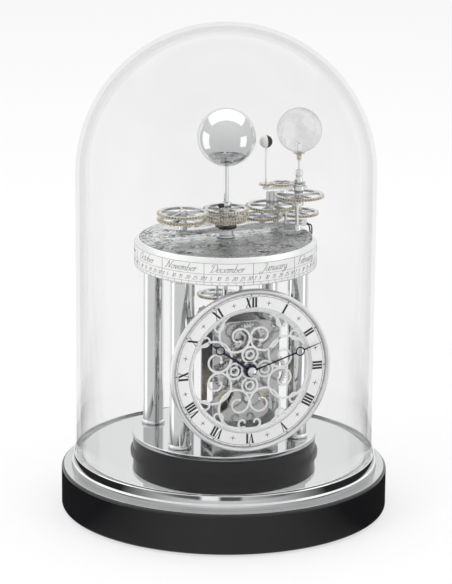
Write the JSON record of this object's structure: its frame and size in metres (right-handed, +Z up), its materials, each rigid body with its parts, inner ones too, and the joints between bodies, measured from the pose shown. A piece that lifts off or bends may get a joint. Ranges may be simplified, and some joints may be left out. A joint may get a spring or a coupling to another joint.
{
  "type": "tellurion table clock",
  "caption": "Domed table clock with a pierced dial in front of a going train, and a geared sun, earth and moon that travel round a calendar drum above it",
  "frame": {"origin": "centre of the felt underside of the base, on the axis of the base, columns, calendar drum and dome", "axes": "+Z up, the dial faces -Y and +X is to the right of somebody who reads the dial"},
  "size_m": [0.24, 0.24, 0.3602],
  "materials": {
    "felt": "dark felt pad",
    "lacquer": "high-gloss black lacquer",
    "polished_plate": "mirror-polished plate with a faintly darker centre",
    "chrome": "mirror chrome",
    "steel": "fine-ground steel",
    "wheel_steel": "polished wheels with warm, brass-toned teeth",
    "brass": "polished brass",
    "silvered": "matt silver-white with printed lettering",
    "engraved": "grey plate engraved with a star chart",
    "blued": "dark blued steel",
    "black_screw": "black knurled screw head",
    "sun_silver": "polished silver ball",
    "crystal": "frosted clear globe with faint etched continents",
    "moon_paint": "half white, half black",
    "clear_glass": "clear blown glass"
  },
  "bodies": {
    "clock": {"felt_pad": "felt", "base_disc": "lacquer", "base_plate": "polished_plate", "plinth_drum": "lacquer", "plinth_plate": "chrome", "column_front_left": "chrome", "column_front_right": "chrome", "column_rear_left": "chrome", "column_rear_right": "chrome", "calendar_ring": "silvered", "support_plate": "chrome", "star_plate": "engraved", "centre_tube": "steel", "drive_bridge": "steel", "tie_rod_left": "chrome", "tie_rod_right": "chrome", "dial_bezel": "chrome", "chapter_ring": "silvered", "dial_centre": "chrome", "front_plate": "steel", "back_plate": "steel"},
    "dome": {"glass_dome": "clear_glass"},
    "minute": {"centre_wheel": "wheel_steel", "minute_hand": "blued", "hand_cap": "chrome"},
    "hour": {"hour_wheel": "wheel_steel", "hour_hand": "blued"},
    "minute_gear": {"minute_wheel": "wheel_steel"},
    "going_barrel": {"barrel": "brass"},
    "third": {"third_wheel": "wheel_steel"},
    "escape": {"escape_wheel": "brass"},
    "transfer": {"transfer_wheel": "wheel_steel"},
    "balance": {"balance_wheel": "brass"},
    "year": {"year_wheel": "wheel_steel"},
    "carriage": {"carriage_arm": "chrome", "lower_bridge": "chrome", "upper_bridge": "chrome", "date_pointer": "blued"},
    "day": {"day_arbor": "steel", "crown_wheel": "wheel_steel", "day_wheel": "wheel_steel", "thumb_screw": "black_screw", "sun_globe": "sun_silver"},
    "left_pair": {"left_upper_wheel": "wheel_steel", "left_lower_wheel": "wheel_steel"},
    "sleeve": {"sleeve_upper_wheel": "wheel_steel", "sleeve_lower_wheel": "wheel_steel"},
    "idler": {"idler_wheel": "wheel_steel"},
    "earth": {"earth_wheel": "wheel_steel", "earth_arbor": "brass", "earth_globe": "crystal"},
    "month": {"month_wheel": "wheel_steel"},
    "moon_drive": {"moon_wheel": "wheel_steel"},
    "moon_arm": {"moon_arm": "chrome"},
    "phase_idler": {"phase_idler": "wheel_steel"},
    "moon": {"moon_stem": "chrome", "moon_ball": "moon_paint"}
  },
  "joints": [
    {"name": "dome_lift", "type": "slide", "parent": "clock", "child": "dome", "axis": [0, 0, 1], "range_m": [0, 0.275]},
    {"name": "minute_turn", "type": "hinge", "parent": "clock", "child": "minute", "pos_m": [0, -0.034, 0.1184], "axis": [0, 1, 0], "continuous": true},
    {"name": "hour_turn", "type": "hinge", "parent": "clock", "child": "hour", "pos_m": [0, -0.052, 0.1184], "axis": [0, 1, 0], "continuous": true},
    {"name": "minute_wheel_turn", "type": "hinge", "parent": "clock", "child": "minute_gear", "pos_m": [-0.01316, -0.034, 0.11361], "axis": [0, 1, 0], "continuous": true},
    {"name": "barrel_turn", "type": "hinge", "parent": "clock", "child": "going_barrel", "pos_m": [0, -0.034, 0.0944], "axis": [0, 1, 0], "continuous": true},
    {"name": "third_turn", "type": "hinge", "parent": "clock", "child": "third", "pos_m": [0.01691, -0.034, 0.11224], "axis": [0, 1, 0], "continuous": true},
    {"name": "escape_turn", "type": "hinge", "parent": "clock", "child": "escape", "pos_m": [0.01691, -0.034, 0.12924], "axis": [0, 1, 0], "continuous": true},
    {"name": "transfer_turn", "type": "hinge", "parent": "clock", "child": "transfer", "pos_m": [0, -0.034, 0.1408], "axis": [0, 1, 0], "continuous": true},
    {"name": "balance_swing", "type": "hinge", "parent": "clock", "child": "balance", "pos_m": [-0.0125, -0.034, 0.1319], "axis": [0, 1, 0], "range_deg": [-135, 135], "stiffness_Nm_per_rad": 0.000015},
    {"name": "year_turn", "type": "hinge", "parent": "clock", "child": "year", "pos_m": [0, 0.018, 0.1559], "axis": [0, 0, 1], "continuous": true},
    {"name": "carriage_turn", "type": "hinge", "parent": "clock", "child": "carriage", "pos_m": [0, 0, 0.2038], "axis": [0, 0, 1], "continuous": true},
    {"name": "day_turn", "type": "hinge", "parent": "carriage", "child": "day", "pos_m": [0, 0, 0.2238], "axis": [0, 0, 1], "continuous": true},
    {"name": "left_pair_turn", "type": "hinge", "parent": "carriage", "child": "left_pair", "pos_m": [-0.03387, -0.00296, 0.2218], "axis": [0, 0, 1], "continuous": true},
    {"name": "sleeve_turn", "type": "hinge", "parent": "carriage", "child": "sleeve", "pos_m": [0, 0, 0.2178], "axis": [0, 0, 1], "continuous": true},
    {"name": "idler_turn", "type": "hinge", "parent": "carriage", "child": "idler", "pos_m": [0.02889, 0.00253, 0.2168], "axis": [0, 0, 1], "continuous": true},
    {"name": "earth_turn", "type": "hinge", "parent": "carriage", "child": "earth", "pos_m": [0.05778, 0.00505, 0.2338], "axis": [0, 0, 1], "continuous": true},
    {"name": "month_turn", "type": "hinge", "parent": "carriage", "child": "month", "pos_m": [0.03626, 0.00317, 0.2238], "axis": [0, 0, 1], "continuous": true},
    {"name": "moon_wheel_turn", "type": "hinge", "parent": "carriage", "child": "moon_drive", "pos_m": [0.05778, 0.00505, 0.2298], "axis": [0, 0, 1], "continuous": true},
    {"name": "moon_arm_turn", "type": "hinge", "parent": "moon_drive", "child": "moon_arm", "pos_m": [0.05778, 0.00505, 0.2358], "axis": [0, 0, 1], "continuous": true},
    {"name": "phase_idler_turn", "type": "hinge", "parent": "moon_arm", "child": "phase_idler", "pos_m": [0.04534, 0.00625, 0.2388], "axis": [0, 0, 1], "continuous": true},
    {"name": "moon_turn", "type": "hinge", "parent": "moon_arm", "child": "moon", "pos_m": [0.03289, 0.00745, 0.2538], "axis": [0, 0, 1], "continuous": true}
  ],
  "couplings": [
    {"joint": "hour_turn", "follows": "minute_turn", "ratio": 0.083333},
    {"joint": "minute_wheel_turn", "follows": "minute_turn", "ratio": -0.33333},
    {"joint": "barrel_turn", "follows": "minute_turn", "ratio": -0.2},
    {"joint": "third_turn", "follows": "minute_turn", "ratio": -8},
    {"joint": "escape_turn", "follows": "minute_turn", "ratio": 60},
    {"joint": "transfer_turn", "follows": "minute_turn", "ratio": -0.083333},
    {"joint": "year_turn", "follows": "minute_turn", "ratio": -0.010417},
    {"joint": "day_turn", "follows": "minute_turn", "ratio": 0.041667},
    {"joint": "left_pair_turn", "follows": "minute_turn", "ratio": -0.037138},
    {"joint": "sleeve_turn", "follows": "minute_turn", "ratio": 0.04178},
    {"joint": "idler_turn", "follows": "minute_turn", "ratio": -0.04178},
    {"joint": "earth_turn", "follows": "minute_turn", "ratio": 0.04178},
    {"joint": "month_turn", "follows": "minute_turn", "ratio": -0.0076739},
    {"joint": "moon_wheel_turn", "follows": "minute_turn", "ratio": 0.0014095},
    {"joint": "phase_idler_turn", "follows": "moon_arm_turn", "ratio": 0.5},
    {"joint": "moon_turn", "follows": "moon_arm_turn", "ratio": -1}
  ]
}
